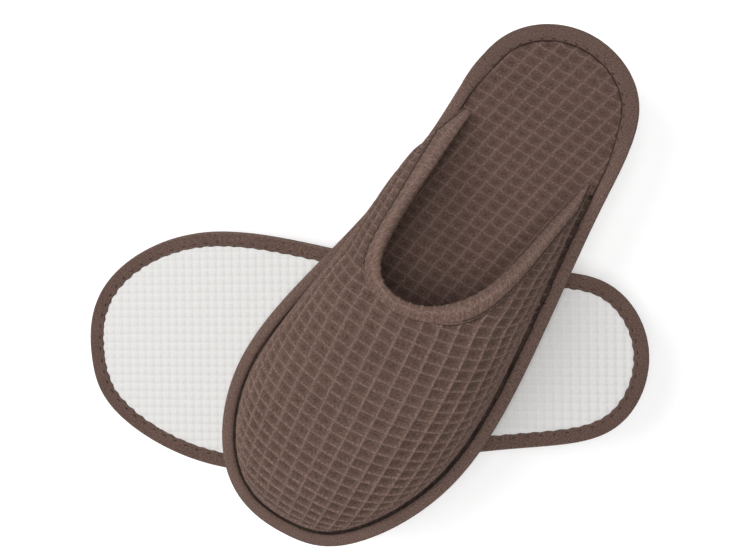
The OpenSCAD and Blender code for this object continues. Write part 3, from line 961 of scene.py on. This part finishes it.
def hem(sl):
    q = np.linspace(0.0, 1, 481)
    start = hem_start(q)
    down = np.linspace(0, 1, 15)
    face = np.stack([upper_at(q, mix(start, 1, f)) for f in down], 1)
    face = pressed(face, sl, pressed_top - HEM_T)
    up = normals_of(face)
    width = np.linalg.norm(np.diff(face, axis=1), axis=-1).sum(1)
    over = unit(face[:, -1] - face[:, -2])
    strip = []
    front = at_front(q)
    hem_high = HEM_T * mix(1, 0.45, front)
    pucker = 0.10 * np.sin(q * 171) + 0.08 * np.sin(q * 262 + 1)
    for k, f in enumerate(down):
        seam = seam_pull(f * width) * mix(1, 0.3, front)
        crown = 0.75 + 0.55 * math.sin(math.pi * min(1, f * 1.02)) ** 0.7
        full = hem_high * crown + pucker * f * (1 - f) * 2
        strip.append(face[:, k] + up[:, k] * (full - 0.45 * seam + (0.0 if k else -0.55))[..., None])
    depth = LAYERS * tip_share(q)
    for a in np.linspace(0, math.pi, 9)[1:-1]:
        mid = face[:, -1] - up[:, -1] * (depth / 2)[:, None]
        half = (depth / 2 + HEM_T * 0.9)[:, None]
        strip.append(mid + up[:, -1] * half * math.cos(a) + over * (half * 0.75) * math.sin(a))
    for k in range(len(down) - 1, -1, -1):
        seam = seam_pull(down[k] * width)
        strip.append(face[:, k] - up[:, k] * (depth + HEM_T * 0.8 - 0.4 * seam)[..., None])
    points = np.stack(strip, 1)
    run = run_along(points[:, 10])
    across = run_along(points[len(q) // 2])
    uv = cloth_uv(across, run)
    cells = np.broadcast_arrays(run[:, None] / CELL_ALONG, across[None, :] / CELL_ACROSS + 0.4)
    values = waffle_relief(*cells)
    inside_strip = np.ones(points.shape[1])
    inside_strip[[0, -1]] = 0
    dip = HEM_DIP * mix(1, 1.8, front)[:, None] * values * inside_strip
    points = points - normals_of(points) * dip[..., None]
    # Painted shade: the seam's crease is darkened, and the row along the lower fold darker still, into
    # crevice shade at the wings.
    seam_shade = seam_pull(down[None, :] * width[:, None]) * mix(1, 0.3, front)[:, None]
    values = 0.25 + 0.45 * values
    values[:, : len(down)] = np.maximum(values[:, : len(down)], seam_shade * 1.3)
    values[:, 0] = mix(1.5, 0.8, front)
    mesh = sheet_mesh(f"{sl['name']}_hem", points, sl, uv=uv, values=values)
    obj = piece("throat_hem_strip", mesh, sl, hem_look, ["throat_hem"], 0.45)
    seam_places = face[:, 0] + unit(face[:, 1] - face[:, 0]) * SEAM_IN
    return seam_places, up[:, 0], depth


# %% [markdown]
# ## The edge tape
# A twill tape is folded over the sole's edge and stitched through. Beside the upper it is
# pushed up into a round roll. Round the heel it lies flat on the insole and is wider. Its
# edge under the sole is drawn in by each stitch, so it runs in small scallops.

# %% The tape
TAPE_T, STITCH_PITCH = 0.8, 6.5
RAMP = 0.5
UNDER_POINTS, SIDE_POINTS, TOP_POINTS = 9, 11, 10
FACE_POINTS = UNDER_POINTS + SIDE_POINTS + TOP_POINTS


def beside_upper(s):
    return smooth((s - s_outer) / RAMP + 1.2) * smooth((s_inner - s) / RAMP + 1.2)


def tape_section(s, run):
    """Points (inset, height) of the tape's outer face at each station, from under to top."""
    roll = beside_upper(s)
    top = mix(insole_top, flange_top, roll) + TAPE_T
    lip = mix(TAPE_HEEL_W, TAPE_TOE_W + 0.3, roll)
    draw = 0.5 + 0.5 * np.cos(2 * np.pi * run / STITCH_PITCH)
    ripple = 0.12 * np.sin(run * 0.9) + 0.10 * np.sin(run * 1.7 + 2) + 0.08 * np.sin(run * 2.9 + 4)
    under_w = TAPE_UNDER_W - 0.45 * draw + 0.25 * ripple
    line = []
    for f in np.linspace(0, 1, UNDER_POINTS):
        seam = np.exp(-(((f * under_w - 2.0) / 0.9) ** 2)) * (0.35 + 0.35 * draw)
        end = 0.42 * smooth(1 - f / 0.10)
        puff = 0.22 * ripple * math.sin(math.pi * f)
        line.append((under_w * (1 - f) + 1.6 * f, 0.12 + seam * 0.6 + end + puff))
    middle = (top + 0.2) / 2
    for a in np.linspace(0, math.pi, SIDE_POINTS + 2)[1:-1]:
        out = 1.9 - 1.9 * math.sin(a) ** 0.75
        lift = middle - (middle - 0.12) * np.sign(math.cos(a)) * abs(math.cos(a)) ** 0.8
        line.append((out + 0.10 * ripple * math.sin(a), lift))
    for f in np.linspace(0, 1, TOP_POINTS):
        flat_crown = 0.30 * math.sin(math.pi * f) ** 0.8
        roll_crown = 0.45 * math.sin(math.pi * (0.18 + f * 0.82)) ** 0.7
        crown = mix(flat_crown, roll_crown, roll)
        fall = mix(0.35 * f**6, 1.5 * f**5, roll)
        seam = mix(np.exp(-(((f - 0.84) / 0.09) ** 2)) * 0.4, 0, roll)
        puff = 0.15 * ripple * math.sin(math.pi * f)
        line.append((mix(1.9, lip, f), top - 0.15 + crown - fall - seam + puff))
    line = [np.stack(np.broadcast_arrays(*p, s)[:2], -1) for p in line]
    return np.stack(line, 1)


def tape_ring(s, low, high, first=0):
    """A loop round the tape's section at each station, low to high off its outer face."""
    run = np.interp(s % SPANS, edge_s, edge_run)
    face = tape_section(s, run)[:, first:]
    along = np.gradient(face, axis=1)
    out = unit(np.stack([-along[..., 1], along[..., 0]], -1))
    outer, inner = face + out * high, face + out * low
    return np.concatenate([outer, inner[:, ::-1], outer[:, :1]], 1)


def raise_section(section, s, slant=0.0):
    s = s[:, None] + slant * np.linspace(-1, 1, section.shape[1])[None, :] ** 2
    return np.concatenate([edge_at(s) - section[..., :1] * edge_out(s), section[..., 1:]], -1)


def edge_tape(sl):
    s = np.linspace(0, SPANS, 901)
    loop = tape_ring(s, -0.85 * TAPE_T, 0)
    points = raise_section(loop, s)
    points[-1] = points[0]
    run = edge_run[-1] * s / SPANS
    across = run_along(loop[0])
    uv = cloth_uv(across, run)
    values = np.full(points.shape[:2], 0.35)
    roll = beside_upper(s)
    values[:, UNDER_POINTS : FACE_POINTS + 1] = mix(0.7, 0.5, roll)[:, None]
    values[:, :UNDER_POINTS] = 0.8
    # Painted shade: the tape's inner edge, where it meets the upper and the insole, is marked as a crevice.
    values[:, FACE_POINTS - 1 : FACE_POINTS + 2] = 1.6
    mesh = sheet_mesh(f"{sl['name']}_tape", points, sl, uv=uv, values=values, joined=True)
    obj = piece("edge_tape", mesh, sl, tape_look, ["edge_binding"])


def tape_lap(sl):
    """The tape's end, which laps over its beginning behind the inner wing."""
    first = math.ceil(s_inner * 6) / 6
    s = np.linspace(first, first + 2 / 6, 31)
    lift = 0.28 * np.sin(np.linspace(0.15, 1, len(s)) * np.pi)[:, None, None]
    points = raise_section(tape_ring(s, -0.15, lift, first=UNDER_POINTS + 1), s, slant=0.10)
    ends = [0.5 * (p + p[::-1]) for p in (points[0], points[-1])]
    points = np.concatenate([ends[0][None], points, ends[1][None]])
    uv = cloth_uv(np.arange(points.shape[1]) * 0.7, np.arange(len(points)) * 0.5)
    values = np.full(points.shape[:2], 0.7)
    mesh = sheet_mesh(f"{sl['name']}_lap", points, sl, uv=uv, values=values, joined=True)
    piece("tape_lap", mesh, sl, tape_look, ["binding_lap"])


# %% [markdown]
# ## Stitches
# Each stitch is a short length of thread between two needle holes. One small bead, drawn
# out along the seam, stands for each, and they all go into one mesh for each seam.

# %% Stitches along a seam
def stitches(sl, name, seams, slot_node, size):
    """seams: lists of (places, directions, ups) for each stitch."""
    bm = bmesh.new()
    for places, along, up in seams:
        for p, a, n in zip(places, along, up):
            side = np.cross(n, a)
            turn = Matrix([[a[0] * size[0], side[0] * size[1], n[0] * size[2], p[0]],
                           [a[1] * size[0], side[1] * size[1], n[1] * size[2], p[1]],
                           [a[2] * size[0], side[2] * size[1], n[2] * size[2], p[2]],
                           [0, 0, 0, 1]])
            bmesh.ops.create_uvsphere(bm, u_segments=6, v_segments=5, radius=1,
                                      matrix=turn @ Matrix.Rotation(math.pi / 2, 4, "Y"))
    mesh = bpy.data.meshes.new(f"{sl['name']}_{name}")
    bm.to_mesh(mesh)
    co = np.empty(len(mesh.vertices) * 3)
    mesh.vertices.foreach_get("co", co)
    mesh.vertices.foreach_set("co", place(co.reshape(-1, 3), sl).astype(np.float32).ravel())
    bm.clear()
    bm.from_mesh(mesh)
    bmesh.ops.recalc_face_normals(bm, faces=bm.faces)
    bm.to_mesh(mesh)
    bm.free()
    piece(name, mesh, sl, thread_look, [slot_node])


def tape_stitches(sl):
    count = int(edge_run[-1] / STITCH_PITCH)
    seams = []
    for under in (True, False):
        run = (np.arange(count) + (0 if under else 0.5)) * edge_run[-1] / count
        s = np.interp(run, edge_run, edge_s)
        along = edge_at(s + 0.02) - edge_at(s - 0.02)
        along = unit(with_z(along, 0))
        if under:
            p = with_z(edge_in(s, np.full(s.shape, TAPE_UNDER_W - 2.0)), 0.20)
            up = np.broadcast_to([0, 0, -1.0], p.shape)
        else:
            roll = beside_upper(s)
            lip = mix(TAPE_HEEL_W, TAPE_TOE_W, roll)
            top = mix(insole_top, flange_top, roll) + TAPE_T
            p = with_z(edge_in(s, lip - mix(1.1, 0.6, roll)), top - mix(0.22, 0.75, roll))
            up = np.broadcast_to([0, 0, 1.0], p.shape)
        seams.append((p, along, up))
    stitches(sl, "tape_seam", seams, "binding_stitching", (0.9, 0.3, 0.28))


def hem_stitches(sl, seam_places, up, depth):
    run = run_along(seam_places)
    at = np.arange(6, run[-1] - 6, 3.4)
    at = at[abs(at / run[-1] - 0.5) > 0.1]
    seams = []
    for side in (1, -1):
        lift = np.full(len(run), 0.32) if side > 0 else -(depth + 0.3)
        line = seam_places + up * lift[:, None]
        p = np.stack([np.interp(at, run, line[:, k]) for k in range(3)], -1)
        ahead = np.stack([np.interp(at + 1, run, line[:, k]) for k in range(3)], -1)
        n = unit(np.stack([np.interp(at, run, up[:, k]) for k in range(3)], -1)) * side
        along = unit(ahead - p)
        n = unit(n - along * (n * along).sum(-1, keepdims=True))
        seams.append((p, along, n))
    stitches(sl, "hem_seam", seams, "hem_stitching", (1.3, 0.2, 0.2))


# %% [markdown]
# ## Putting both slippers together
# Both slippers are made in the order in which they are sewn: the sole's layers, the upper's
# layers, the hem with its seam, and last the tape, whose lap is made just before it.

# %% Every piece of each slipper
for sl in (LOWER, TOP):
    outsole(sl)
    cushion(sl)
    insole_cover(sl)
    vamp_cover(sl)
    padding_and_lining(sl)
    hem_stitches(sl, *hem(sl))
    tape_lap(sl)
    edge_tape(sl)
    tape_stitches(sl)
